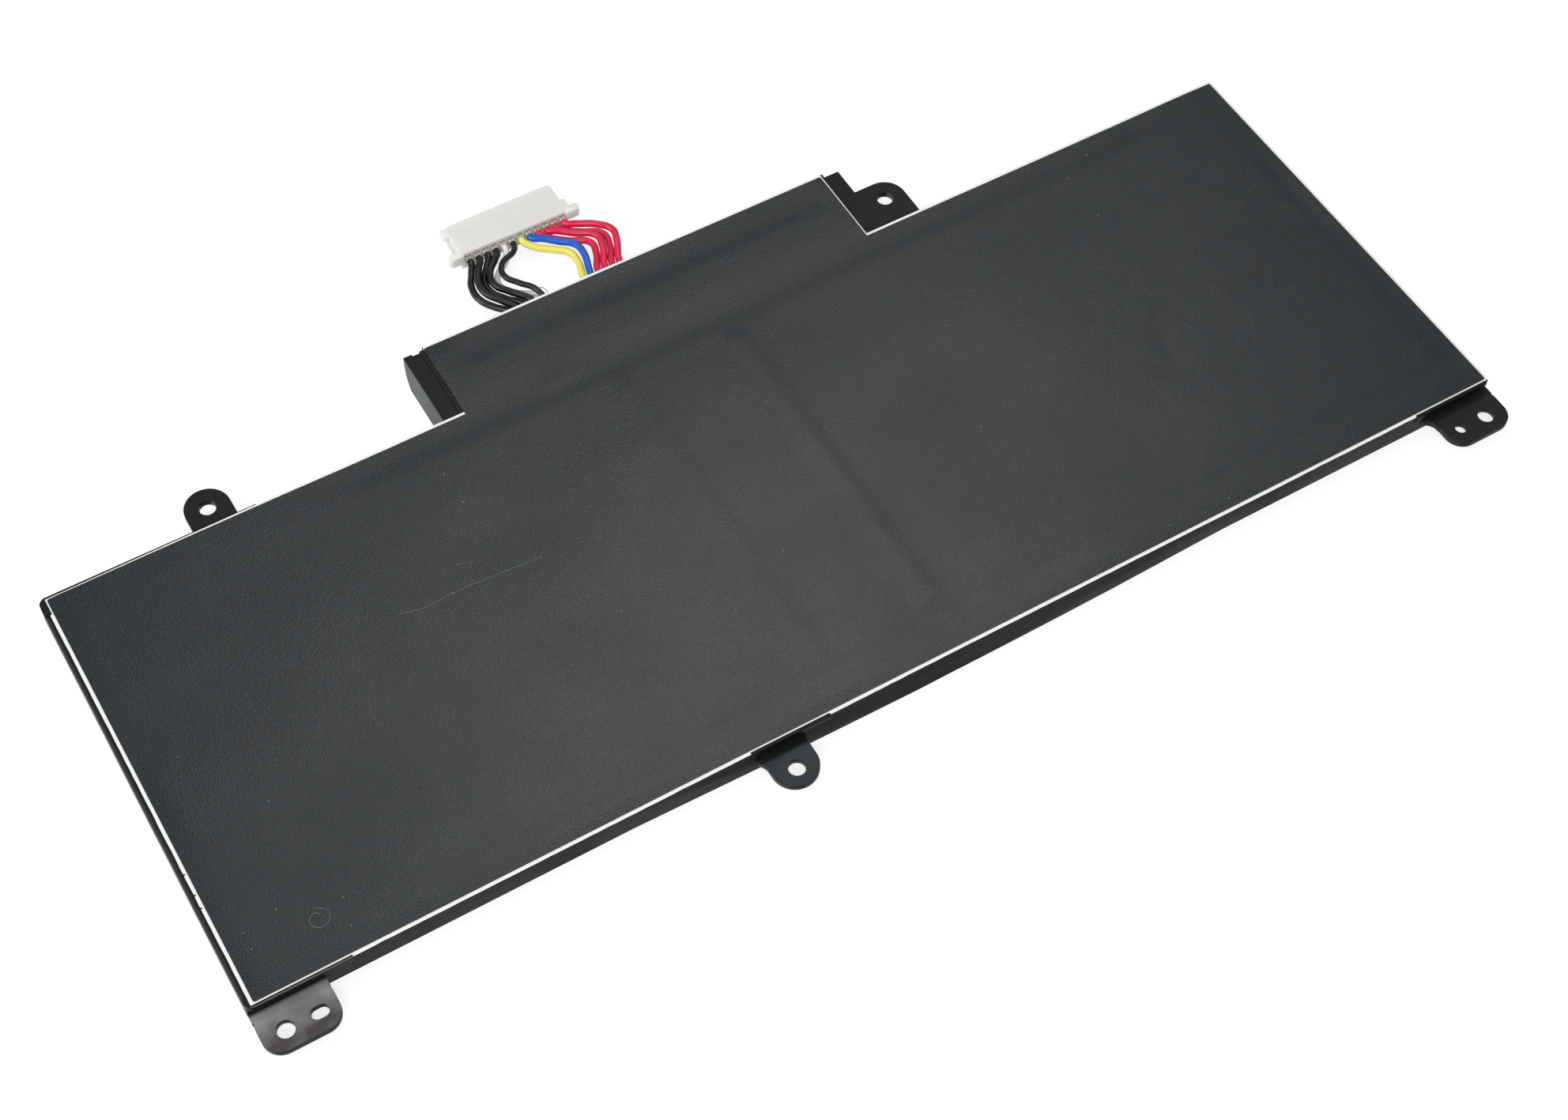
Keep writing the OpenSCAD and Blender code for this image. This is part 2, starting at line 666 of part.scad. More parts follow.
// The plug's nylon housing: a block with wings at the wire face, a keying lug and a side rib
module plug_housing() {
    half = ways * pitch / 2 + 0.3;
    corner = 0.7;
    wing = [1.1, 1.4];
    wing_y = plug_y - 0.4;
    rib = [0.55, 2.1];
    lug = [0.75, 1.5, 0.75];
    mate_y = plug_y + plug_depth;
    top = plug_base + plug_h;
    wing_z = top - wing[1];
    color(nylon_colour) difference() {
        union() {
            translate([plug_x, 0, plug_base]) linear_extrude(plug_h) {
                round_box(-half, plug_y + 1, half, mate_y, corner);
                translate([-half, plug_y]) square([2 * half, plug_depth - corner]);
            }
            translate([plug_x, 0, wing_z]) linear_extrude(wing[1]) {
                round_box(-half - wing_out, wing_y, half + wing_out, wing_y + wing[0], 0.4);
                translate([0, plug_y]) square([half + rib[0], rib[1]]);
            }
            translate([plug_x, 0, top - lug[2]]) linear_extrude(lug[2])
                round_box(-half - lug[0], mate_y - lug[1] - 0.2, 0, mate_y - 0.2, 0.4);
        }
        block([plug_x - half + 0.3, plug_y - 1, wing_z - 1], [plug_x + half - 0.3, plug_y, top + 1]);
        for (i = [0:ways - 1]) plug_cavity(contact_x(i));
    }
}

// The room for one contact, open at the wire face, with a window at the mating face
// and another in the underside, where the contact's spring tongue snaps in
module plug_cavity(x) {
    mate_y = plug_y + plug_depth;
    window = 0.3;
    catch_y = plug_y + 2.2;
    block([x - cavity_w / 2, plug_y - 1, lead_exit_z - cavity_h / 2],
        [x + cavity_w / 2, mate_y - 0.9, lead_exit_z + cavity_h / 2]);
    block([x - window, mate_y - 1, lead_exit_z - window], [x + window, mate_y + 1, lead_exit_z + window]);
    block([x - window, catch_y, plug_base - 1], [x + window, catch_y + 1.2, lead_exit_z]);
}

// Crimp contacts: a crimp with two rolled wings on the lead's end, a neck, and a hollow box
// that lies in its cavity
module plug_contacts() {
    half = cavity_w / 2 - 0.05;
    high = cavity_h / 2 - 0.25;
    roll = half / 2;
    crimp_l = barrel_out + 0.6;
    crimp_end = lead_start + crimp_l;
    box_start = crimp_end + 0.8;
    box_end = plug_y + plug_depth - 0.95;
    sheet = 0.15;
    color(tin_colour) for (i = [0:ways - 1]) translate([contact_x(i), 0, lead_exit_z]) {
        translate([0, crimp_end, 0]) rotate([90, 0, 0]) linear_extrude(crimp_l) {
            translate([-half, -high]) square([2 * half, 2 * high - roll]);
            for (side = [-1, 1]) translate([side * roll, high - roll]) circle(roll, $fn = 12);
        }
        block([-roll, crimp_end - eps, -high], [roll, box_start + eps, 0]);
        difference() {
            block([-half, box_start, -high], [half, box_end, high]);
            block([sheet - half, box_start + sheet, sheet - high],
                [half - sheet, box_end + 1, high - sheet]);
        }
    }
}

frame();
top_sheet();
top_film();
bottom_film();
cell_left();
cell_right();
cell_tape_left();
cell_tape_right();
cell_left_plus();
cell_left_minus();
cell_right_plus();
cell_right_minus();
series_link();
weld_pads();
protection_board();
gauge_chip();
switch_transistors();
protector_fuse();
sense_resistor();
thermistor();
chip_capacitors();
solder_joints();
board_foam();
lead(0, black);  // lead_black_1
lead(1, black);  // lead_black_2
lead(2, black);  // lead_black_3
lead(3, black);  // lead_black_4
lead(4, "#e9e9e6", thin_lead_d);  // lead_white
lead(5, black, thin_lead_d);  // lead_black_thin
lead(6, "#e3d868");  // lead_yellow
lead(7, "#2b62c4");  // lead_blue
lead(8, red);  // lead_red_1
lead(9, red);  // lead_red_2
lead(10, red);  // lead_red_3
lead(11, red);  // lead_red_4
plug_housing();
plug_contacts();
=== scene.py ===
import math

import bpy
from mathutils import Matrix, Vector, noise


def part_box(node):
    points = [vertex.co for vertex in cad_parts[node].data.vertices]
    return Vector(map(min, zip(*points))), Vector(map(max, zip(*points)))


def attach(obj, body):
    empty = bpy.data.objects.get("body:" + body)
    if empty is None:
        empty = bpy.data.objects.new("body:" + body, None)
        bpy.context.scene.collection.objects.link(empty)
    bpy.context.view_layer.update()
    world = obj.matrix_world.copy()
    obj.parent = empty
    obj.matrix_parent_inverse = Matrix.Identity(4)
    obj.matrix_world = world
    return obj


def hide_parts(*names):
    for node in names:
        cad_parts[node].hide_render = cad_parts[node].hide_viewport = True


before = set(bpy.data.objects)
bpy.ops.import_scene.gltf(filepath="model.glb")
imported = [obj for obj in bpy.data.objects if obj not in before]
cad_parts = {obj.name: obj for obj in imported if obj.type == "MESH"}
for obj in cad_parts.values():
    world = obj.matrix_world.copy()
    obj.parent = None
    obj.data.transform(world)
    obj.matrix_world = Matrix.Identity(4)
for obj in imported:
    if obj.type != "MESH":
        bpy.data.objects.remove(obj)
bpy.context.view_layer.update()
mm = 0.001

# Moulded frame
# One black PC/ABS moulding with thin walls, five screw ears and a land on the tab. Its faces are
# spark-eroded to a fine matt grain, and its arrises leave the mould slightly rounded. A painted
# highlight makes the top of the front left ear a pale, brownish grey.


def linear(colour):
    """A hex colour as the linear RGBA that the shader takes."""
    parts = [int(colour[i:i + 2], 16) / 255 for i in (1, 3, 5)]
    return [c / 12.92 if c <= 0.04045 else ((c + 0.055) / 1.055) ** 2.4 for c in parts] + [1]


def add_node(material, kind, inputs={}, **settings):
    """Adds a node with its settings, and fills its inputs with values or with links."""
    tree = material.node_tree
    new = tree.nodes.new(kind)
    for name, value in settings.items():
        setattr(new, name, value)
    for name, value in inputs.items():
        if isinstance(value, bpy.types.Node):
            tree.links.new(value.outputs[0], new.inputs[name])
        elif isinstance(value, bpy.types.NodeSocket):
            tree.links.new(value, new.inputs[name])
        else:
            new.inputs[name].default_value = value
    return new


def new_material(name):
    """An empty material, and the place of its points in the object's own metres."""
    material = bpy.data.materials.new(name)
    material.use_nodes = True
    material.node_tree.nodes.clear()
    return material, add_node(material, "ShaderNodeTexCoord").outputs["Object"]


def dress(piece, material):
    """The piece wears this material alone."""
    if piece.data.materials:
        for slot in piece.material_slots:
            slot.material = material
    else:
        piece.data.materials.append(material)


def take_only(piece):
    """This piece alone is selected and active."""
    bpy.ops.object.select_all(action="DESELECT")
    piece.select_set(True)
    bpy.context.view_layer.objects.active = piece


def copy_of_node(node, name):
    """A copy of a CAD node with its loose triangles merged into clean faces."""
    piece = bpy.data.objects.new(name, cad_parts[node].data.copy())
    bpy.context.collection.objects.link(piece)
    take_only(piece)
    bpy.ops.object.mode_set(mode="EDIT")
    bpy.ops.mesh.select_all(action="SELECT")
    bpy.ops.mesh.remove_doubles(threshold=0.002 * mm)
    bpy.ops.mesh.dissolve_limited(angle_limit=math.radians(1))
    bpy.ops.object.mode_set(mode="OBJECT")
    return piece


def apply_modifier(piece, kind, **settings):
    """One modifier with these settings, applied."""
    take_only(piece)
    modifier = piece.modifiers.new("shaping", kind)
    for name, value in settings.items():
        setattr(modifier, name, value)
    bpy.ops.object.modifier_apply(modifier=modifier.name)


def smooth(piece, degrees=35):
    """Smooth shading, but for edges sharper than this."""
    take_only(piece)
    bpy.ops.object.shade_smooth_by_angle(angle=math.radians(degrees))


def place_on_root(piece, slot, *nodes):
    """The piece rides on the body and stands for these CAD nodes."""
    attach(piece, "root")
    if nodes:
        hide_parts(*nodes)


# Moulded ABS reflects softly. Its grain is drawn a little coarse, so that it shows. A painted
# highlight makes the left front ear paler towards the wall, a painted sheen lightens the middle ear,
# a painted reflection of the table makes the walls paler low down, and painted light makes the tab's
# left side pale. The front wall is duller than the rest, and a fine line of painted shade crosses it
# at the step where the left and the middle lip end. The places are in mm.
grain = 0.25
highlight_ear_x = -53.5
front_wall_y = -29.9
sheen_ear_y = -30.9
body_back_y = 30
lip_ends = (-72.5, -12.4)
moulding, at = new_material("spark_eroded_black_abs")
grit = add_node(moulding, "ShaderNodeTexNoise", {"Vector": at, "Scale": 1 / (grain * mm), "Detail": 2})
clouding = add_node(moulding, "ShaderNodeTexNoise", {"Vector": at, "Scale": 1 / (9 * mm), "Detail": 3})
place = add_node(moulding, "ShaderNodeSeparateXYZ", {0: at})
# Painted highlight on the front left ear's top: palest by the wall, brownish further out, mottled by
# noise.
highlight_ear_across = add_node(moulding, "ShaderNodeMapRange",
                    {"Value": place.outputs[0], "From Min": (highlight_ear_x + 3.9) * mm,
                     "From Max": highlight_ear_x * mm},
                    interpolation_type="SMOOTHSTEP")
highlight_ear_off_wall = add_node(moulding, "ShaderNodeMapRange",
                    {"Value": place.outputs[1], "From Min": front_wall_y * mm,
                     "From Max": (front_wall_y - 0.5) * mm})
turned = add_node(moulding, "ShaderNodeTexCoord").outputs["Normal"]
facing = add_node(moulding, "ShaderNodeSeparateXYZ", {0: turned})
faces_up = add_node(moulding, "ShaderNodeMapRange",
                    {"Value": facing.outputs[2], "From Min": 0.75, "From Max": 0.95})
on_ear = add_node(moulding, "ShaderNodeMath", {0: highlight_ear_across, 1: highlight_ear_off_wall}, operation="MULTIPLY")
ear_highlight = add_node(moulding, "ShaderNodeMath", {0: on_ear, 1: faces_up}, operation="MULTIPLY")
far_from_wall = add_node(moulding, "ShaderNodeMapRange",
                         {"Value": place.outputs[1], "From Min": (front_wall_y - 0.6) * mm,
                          "From Max": (front_wall_y - 4.6) * mm})
highlight_mottle = add_node(moulding, "ShaderNodeTexNoise", {"Vector": at, "Scale": 1 / (2.5 * mm), "Detail": 4})
highlight_mottle_shift = add_node(moulding, "ShaderNodeMapRange",
                     {"Value": highlight_mottle, "From Min": 0.35, "From Max": 0.65, "To Min": -0.2, "To Max": 0.2})
ear_highlight_shade = add_node(moulding, "ShaderNodeMath", {0: far_from_wall, 1: highlight_mottle_shift}, use_clamp=True)
# The painted highlight's colours, by the wall and further out on the ear.
ear_highlight_colour = add_node(moulding, "ShaderNodeMix",
                         {0: ear_highlight_shade, 6: linear("#8b8a8a"), 7: linear("#423f3d")},
                         data_type="RGBA")
# Painted reflection of the table: the walls are paler low down.
low_on_wall = add_node(moulding, "ShaderNodeMapRange",
                       {"Value": place.outputs[2], "From Min": 2.2 * mm, "From Max": 1.8 * mm})
dark_colour = add_node(moulding, "ShaderNodeMix",
                       {0: clouding, 6: linear("#090b0c"), 7: linear("#111315")}, data_type="RGBA")
wall_colour_with_reflection = add_node(moulding, "ShaderNodeMix",
                       {0: low_on_wall, 6: dark_colour.outputs[2], 7: linear("#171b1d")},
                       data_type="RGBA")
# Painted light: the tab's left side is paler where it faces the left lamp.
past_body = add_node(moulding, "ShaderNodeMapRange",
                     {"Value": place.outputs[1], "From Min": (body_back_y - 0.2) * mm,
                      "From Max": (body_back_y + 0.2) * mm})
faces_left = add_node(moulding, "ShaderNodeMapRange",
                      {"Value": facing.outputs[0], "From Min": -0.6, "From Max": -0.8})
tab_side_lit = add_node(moulding, "ShaderNodeMath", {0: past_body, 1: faces_left}, operation="MULTIPLY")
tab_side_lit_colour = add_node(moulding, "ShaderNodeMix",
                           {0: tab_side_lit, 6: wall_colour_with_reflection.outputs[2], 7: linear("#44494c")},
                           data_type="RGBA")
# Painted sheen on the middle ear's top.
off_the_wall = add_node(moulding, "ShaderNodeMapRange",
                        {"Value": place.outputs[1], "From Min": sheen_ear_y * mm,
                         "From Max": (sheen_ear_y - 0.4) * mm})
left_of_middle = add_node(moulding, "ShaderNodeMapRange",
                          {"Value": place.outputs[0], "From Min": -10 * mm, "From Max": -12 * mm})
on_middle_ear = add_node(moulding, "ShaderNodeMath", {0: off_the_wall, 1: left_of_middle},
                         operation="MULTIPLY")
middle_ear_sheen = add_node(moulding, "ShaderNodeMath", {0: on_middle_ear, 1: faces_up}, operation="MULTIPLY")
middle_ear_sheen_colour = add_node(moulding, "ShaderNodeMix",
                       {0: middle_ear_sheen, 6: tab_side_lit_colour.outputs[2], 7: linear("#262b2e")},
                       data_type="RGBA")
faces_front = add_node(moulding, "ShaderNodeMapRange",
                       {"Value": facing.outputs[1], "From Min": -0.6, "From Max": -0.8})
# Painted shade: a fine dark line at the step where each lip ends on the front wall.
lip_step_shade = 0
for lip_end in lip_ends:
    past_end = add_node(moulding, "ShaderNodeMath", {0: place.outputs[0], 1: -lip_end * mm})
    away_from_end = add_node(moulding, "ShaderNodeMath", {0: past_end}, operation="ABSOLUTE")
    line = add_node(moulding, "ShaderNodeMapRange",
                    {"Value": away_from_end, "From Min": 0.13 * mm, "From Max": 0.06 * mm})
    lip_step_shade = add_node(moulding, "ShaderNodeMath", {0: line, 1: lip_step_shade}, operation="MAXIMUM")
lip_step_shaded = add_node(moulding, "ShaderNodeMath", {0: lip_step_shade, 1: faces_front}, operation="MULTIPLY")
lip_step_shade_colour = add_node(moulding, "ShaderNodeMix",
                        {0: lip_step_shaded, 6: middle_ear_sheen_colour.outputs[2], 7: linear("#020303")},
                        data_type="RGBA")
moulding_colour = add_node(moulding, "ShaderNodeMix",
                           {0: ear_highlight, 6: lip_step_shade_colour.outputs[2], 7: ear_highlight_colour.outputs[2]},
                           data_type="RGBA")
moulding_rough = add_node(moulding, "ShaderNodeMapRange",
                          {"Value": clouding, "From Min": 0.35, "From Max": 0.65,
                           "To Min": 0.38, "To Max": 0.5})
moulding_gloss = add_node(moulding, "ShaderNodeMapRange",
                          {"Value": faces_front, "To Min": 0.25, "To Max": 0.1})
grit_bump = add_node(moulding, "ShaderNodeBump", {"Height": grit, "Distance": 0.02 * mm, "Strength": 0.5})
abs_shader = add_node(moulding, "ShaderNodeBsdfPrincipled",
                      {"Base Color": moulding_colour.outputs[2], "Roughness": moulding_rough,
                       "Specular IOR Level": moulding_gloss, "Normal": grit_bump})
add_node(moulding, "ShaderNodeOutputMaterial", {"Surface": abs_shader})

frame_piece = copy_of_node("frame", "frame_moulding")
apply_modifier(frame_piece, "BEVEL", width=0.07 * mm, segments=2, limit_method="ANGLE",
               angle_limit=math.radians(40), use_clamp_overlap=False, miter_outer="MITER_ARC")
smooth(frame_piece)
apply_modifier(frame_piece, "WEIGHTED_NORMAL", keep_sharp=True, weight=80)
dress(frame_piece, moulding)
place_on_root(frame_piece, "frame_moulding", "frame")

# Underside film
# A matt black polyester film closes the underside, glued to the frame and flat where the pack
# lies in its bay. It has the satin of the film on top.
matt_film, at = new_material("matt_black_polyester")
tooth = add_node(matt_film, "ShaderNodeTexNoise", {"Vector": at, "Scale": 1 / (0.2 * mm), "Detail": 2})
cloud = add_node(matt_film, "ShaderNodeTexNoise", {"Vector": at, "Scale": 1 / (14 * mm), "Detail": 4})
tooth_dark = add_node(matt_film, "ShaderNodeMapRange",
                      {"Value": tooth, "From Min": 0.3, "From Max": 0.7})
film_colour = add_node(matt_film, "ShaderNodeMix",
                       {0: tooth_dark, 6: linear("#000203"), 7: linear("#1a2329")}, data_type="RGBA")
film_rough = add_node(matt_film, "ShaderNodeMapRange",
                      {"Value": cloud, "From Min": 0.35, "From Max": 0.65, "To Min": 0.28, "To Max": 0.32})
tooth_bump = add_node(matt_film, "ShaderNodeBump",
                      {"Height": tooth, "Distance": 0.032 * mm, "Strength": 1.0})
film_shader = add_node(matt_film, "ShaderNodeBsdfPrincipled",
                       {"Base Color": film_colour.outputs[2], "Roughness": film_rough,
                        "Normal": tooth_bump})
add_node(matt_film, "ShaderNodeOutputMaterial", {"Surface": film_shader})
dress(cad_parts["bottom_film"], matt_film)

# Tape and foam
# Black acrylic foam tape holds each cell down, and a strip of the same foam sits between the board
# and the cover. It is open and dull, with pores of about 0.3 mm.
foam, at = new_material("black_acrylic_foam")
pores = add_node(foam, "ShaderNodeTexVoronoi", {"Vector": at, "Scale": 1 / (0.3 * mm)})
foam_colour = add_node(foam, "ShaderNodeMix",
                       {0: pores, 6: linear("#2a2a2c"), 7: linear("#434346")}, data_type="RGBA")
pore_bump = add_node(foam, "ShaderNodeBump", {"Height": pores, "Distance": 0.05 * mm})
foam_shader = add_node(foam, "ShaderNodeBsdfPrincipled",
                       {"Base Color": foam_colour.outputs[2], "Roughness": 0.9, "Normal": pore_bump})
add_node(foam, "ShaderNodeOutputMaterial", {"Surface": foam_shader})
for node in ("cell_tape_left", "cell_tape_right", "board_foam"):
    dress(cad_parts[node], foam)

# Pouch cells
# Two flat lithium-polymer cells lie side by side, wrapped in aluminium laminate with a satin nylon
# skin. A seam is folded up along the front, and a sealed terrace at the back lets the tabs out.
laminate, at = new_material("satin_aluminium_laminate")
dimples = add_node(laminate, "ShaderNodeTexNoise", {"Vector": at, "Scale": 1 / (2 * mm), "Detail": 3})
laminate_rough = add_node(laminate, "ShaderNodeMapRange",
                          {"Value": dimples, "From Min": 0.35, "From Max": 0.65,
                           "To Min": 0.35, "To Max": 0.5})
dimple_bump = add_node(laminate, "ShaderNodeBump", {"Height": dimples, "Distance": 0.03 * mm})
laminate_shader = add_node(laminate, "ShaderNodeBsdfPrincipled",
                           {"Base Color": linear("#b9bcc0"), "Metallic": 1.0,
                            "Roughness": laminate_rough, "Normal": dimple_bump})
add_node(laminate, "ShaderNodeOutputMaterial", {"Surface": laminate_shader})
for node in ("cell_left", "cell_right"):
    dress(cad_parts[node], laminate)

# Protection board and its chips
# A glass-fibre board under green resist lies on ledges of the frame, in the tab. Moulded chips and
# fired ceramic chips are soldered on it.
resist, at = new_material("green_solder_resist")
weave = add_node(resist, "ShaderNodeTexChecker", {"Vector": at, "Scale": 1 / (0.8 * mm)})
resist_colour = add_node(resist, "ShaderNodeMix",
                         {0: weave.outputs[1], 6: linear("#17593a"), 7: linear("#1c6340")},
                         data_type="RGBA")
resist_shader = add_node(resist, "ShaderNodeBsdfPrincipled",
                         {"Base Color": resist_colour.outputs[2], "Roughness": 0.3})
add_node(resist, "ShaderNodeOutputMaterial", {"Surface": resist_shader})
dress(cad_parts["protection_board"], resist)

chip_resin, at = new_material("moulded_chip_resin")
resin_grain = add_node(chip_resin, "ShaderNodeTexNoise", {"Vector": at, "Scale": 1 / (0.1 * mm)})
resin_colour = add_node(chip_resin, "ShaderNodeMix",
                        {0: resin_grain, 6: linear("#1b1c1f"), 7: linear("#26272a")}, data_type="RGBA")
resin_bump = add_node(chip_resin, "ShaderNodeBump", {"Height": resin_grain, "Distance": 0.01 * mm})
resin_shader = add_node(chip_resin, "ShaderNodeBsdfPrincipled",
                        {"Base Color": resin_colour.outputs[2], "Roughness": 0.6,
                         "Normal": resin_bump})
add_node(chip_resin, "ShaderNodeOutputMaterial", {"Surface": resin_shader})
for node in ("gauge_chip", "switch_transistors", "sense_resistor"):
    dress(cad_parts[node], chip_resin)

ceramic, at = new_material("fired_chip_ceramic")
firing = add_node(ceramic, "ShaderNodeTexNoise", {"Vector": at, "Scale": 1 / (0.2 * mm)})
ceramic_colour = add_node(ceramic, "ShaderNodeMix",
                          {0: firing, 6: linear("#8a7358"), 7: linear("#9c856a")}, data_type="RGBA")
ceramic_shader = add_node(ceramic, "ShaderNodeBsdfPrincipled",
                          {"Base Color": ceramic_colour.outputs[2], "Roughness": 0.45})
add_node(ceramic, "ShaderNodeOutputMaterial", {"Surface": ceramic_shader})
for node in ("protector_fuse", "thermistor", "chip_capacitors"):
    dress(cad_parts[node], ceramic)

# Cell tabs, link and weld pads
# Rolled nickel strip leads from the cells and joins them in series. It is spot welded to pads on
# the board, and fine lines run along it.
nickel, at = new_material("rolled_nickel")
along = add_node(nickel, "ShaderNodeMapping", {"Vector": at, "Scale": (0.05, 1, 1)})
rolling = add_node(nickel, "ShaderNodeTexNoise", {"Vector": along, "Scale": 1 / (0.4 * mm), "Detail": 2})
nickel_rough = add_node(nickel, "ShaderNodeMapRange",
                        {"Value": rolling, "From Min": 0.35, "From Max": 0.65,
                         "To Min": 0.28, "To Max": 0.42})
nickel_shader = add_node(nickel, "ShaderNodeBsdfPrincipled",
                         {"Base Color": linear("#c9c4b8"), "Metallic": 1.0, "Roughness": nickel_rough})
add_node(nickel, "ShaderNodeOutputMaterial", {"Surface": nickel_shader})
for node in ("cell_left_plus", "cell_left_minus", "cell_right_plus", "cell_right_minus",
             "series_link", "weld_pads"):
    dress(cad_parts[node], nickel)

# Leads
# Twelve stranded leads with smooth PVC insulation run from the board, out under the film and
# into the plug, two of them thinner. They bulge sideways in two bunches because the plug is close.
lead_d = 0.95
thin_d = 0.8
contact_pitch = 1.25
plug_x = -10
tab_back = 41.85
start_y = 52.9
exit_z = 1.8
low_z = 1.5
high_z = 2.1
end_y = 39.35
straight_end = 0.4
lead_colours = {"black": "#060607", "white": "#e4e4e0", "yellow": "#ece35f",
                "blue": "#065ac6", "red": "#d61448"}
# Each route is given from the plug to the board, in mm, with Y counted from the tab's back.
routes = [
    ("black_1", [(-17.5, 9.35, low_z), (-18.6, 7.15, low_z), (-18.6, 4.75, low_z),
                 (-17.5, 2.75, low_z), (-16.3, 0.95, exit_z)], -15.7),
    ("black_2", [(-16.4, 9.35, high_z), (-17.6, 7.15, high_z), (-17.65, 4.95, high_z),
                 (-16.5, 2.95, high_z), (-15.15, 1.05, exit_z)], -14.55),
    ("black_3", [(-15.2, 9.45, low_z), (-16.6, 7.45, low_z), (-16.8, 5.35, low_z),
                 (-15.6, 3.25, low_z), (-14.1, 1.15, exit_z)], -13.45),
    ("black_4", [(-13.9, 9.55, high_z), (-15.6, 7.75, high_z), (-16, 5.65, high_z),
                 (-14.8, 3.65, high_z), (-13, 1.45, exit_z)], -12.35),
    ("white", [(-12.6, 9.15, 1.4), (-14.8, 7.35, 1.1), (-15.1, 5.65, 1.1),
               (-13.7, 3.65, 1.2), (-11.6, 1.85, 1.45)], -10.2),
    ("black_thin", [(-11.3, 9.45, 2.1), (-13.6, 8.15, 2.3), (-14.3, 6.25, 2.3),
                    (-13.2, 4.25, 2.3), (-11.8, 2.15, 2.4)], -11.3),
    ("yellow", [(-8.3, 9.15, low_z), (-6.6, 7.75, low_z), (-4.8, 6.05, low_z),
                (-4.6, 4.15, low_z), (-5.3, 1.55, exit_z)], -5.6),
    ("blue", [(-7, 9.55, high_z), (-5.5, 8.15, high_z), (-3.7, 6.45, high_z),
              (-3.5, 4.55, high_z), (-4.2, 1.55, exit_z)], -4.5),
    ("red_1", [(-6, 9.75, low_z), (-4.1, 8.05, low_z), (-1.6, 6.25, low_z),
               (-1.8, 4.45, low_z), (-3.1, 1.55, exit_z)], -3.4),
    ("red_2", [(-4.8, 9.85, high_z), (-3, 8.35, high_z), (-0.6, 6.55, high_z),
               (-0.8, 4.45, high_z), (-2.05, 1.55, exit_z)], -2.35),
    ("red_3", [(-3.6, 9.85, low_z), (-1.9, 8.55, low_z), (0.5, 6.85, low_z),
               (0.3, 4.55, low_z), (-1, 1.55, exit_z)], -1.3),
    ("red_4", [(-2.1, 9.7, high_z), (0.3, 8.25, high_z), (1.7, 6.45, high_z),
               (1.35, 4.55, high_z), (0.05, 1.55, exit_z)], -0.25),
]


def tube_through(points, diameter, name):
    """A closed round tube on a smooth curve through these points, in mm."""
    bpy.ops.object.select_all(action="DESELECT")
    bpy.ops.curve.primitive_bezier_curve_add(location=(0, 0, 0))
    tube = bpy.context.object
    tube.name = name
    spline = tube.data.splines[0]
    spline.bezier_points.add(len(points) - 2)
    for point, where in zip(spline.bezier_points, points):
        point.co = Vector(where) * mm
        point.handle_left_type = "AUTO"
        point.handle_right_type = "AUTO"
    tube.data.bevel_depth = diameter * mm / 2
    tube.data.bevel_resolution = 6
    tube.data.resolution_u = 10
    tube.data.use_fill_caps = True
    take_only(tube)
    bpy.ops.object.convert(target="MESH")
    smooth(bpy.context.object, 50)
    return bpy.context.object


# Extruded PVC is smooth and a little glossy, and the strands inside make it faintly wavy.
insulations = {}
for shade, colour in lead_colours.items():
    pvc, at = new_material(shade + "_pvc_insulation")
    wave = add_node(pvc, "ShaderNodeTexNoise", {"Vector": at, "Scale": 1 / (1.2 * mm), "Detail": 1})
    pvc_rough = add_node(pvc, "ShaderNodeMapRange",
                         {"Value": wave, "From Min": 0.35, "From Max": 0.65,
                          "To Min": 0.28, "To Max": 0.38})
    wave_bump = add_node(pvc, "ShaderNodeBump", {"Height": wave, "Distance": 0.03 * mm, "Strength": 0.4})
    pvc_shader = add_node(pvc, "ShaderNodeBsdfPrincipled",
                          {"Base Color": linear(colour), "Roughness": pvc_rough, "Normal": wave_bump})
    add_node(pvc, "ShaderNodeOutputMaterial", {"Surface": pvc_shader})
    insulations[shade] = pvc
for number, (name, route, end_x) in enumerate(routes):
    contact_x = plug_x + (number - (len(routes) - 1) / 2) * contact_pitch
    points = [(contact_x, start_y, exit_z), (contact_x, start_y - straight_end, exit_z)]
    points += [(x, tab_back + y, z) for x, y, z in route]
    points += [(end_x, end_y + straight_end, exit_z), (end_x, end_y, exit_z)]
    diameter = thin_d if name in ("white", "black_thin") else lead_d
    lead = tube_through(points, diameter, "lead_" + name + "_insulation")
    shade = name.split("_")[0]
    dress(lead, insulations[shade])
    place_on_root(lead, "lead_" + shade, "lead_" + name)

# Stray strand
# One fine strand of wire has sprung loose where the thin black lead goes under the film. It is
# tarnished copper and stands up in a small bow.
strand_d = 0.09
strand_route = [(-11.7, 43.6, 2.65), (-11.35, 43.5, 2.9), (-11.05, 43.1, 3.0),
                (-10.9, 42.6, 2.8), (-10.7, 42.0, 2.4)]
copper, at = new_material("tarnished_copper_strand")
tarnish = add_node(copper, "ShaderNodeTexNoise", {"Vector": at, "Scale": 1 / (0.3 * mm)})
copper_colour = add_node(copper, "ShaderNodeMix",
                         {0: tarnish, 6: linear("#6e655a"), 7: linear("#8a7c6a")}, data_type="RGBA")
copper_shader = add_node(copper, "ShaderNodeBsdfPrincipled",
                         {"Base Color": copper_colour.outputs[2], "Metallic": 0.6, "Roughness": 0.5})
add_node(copper, "ShaderNodeOutputMaterial", {"Surface": copper_shader})
strand = tube_through(strand_route, strand_d, "stray_strand")
dress(strand, copper)
place_on_root(strand, "crimp_tin")

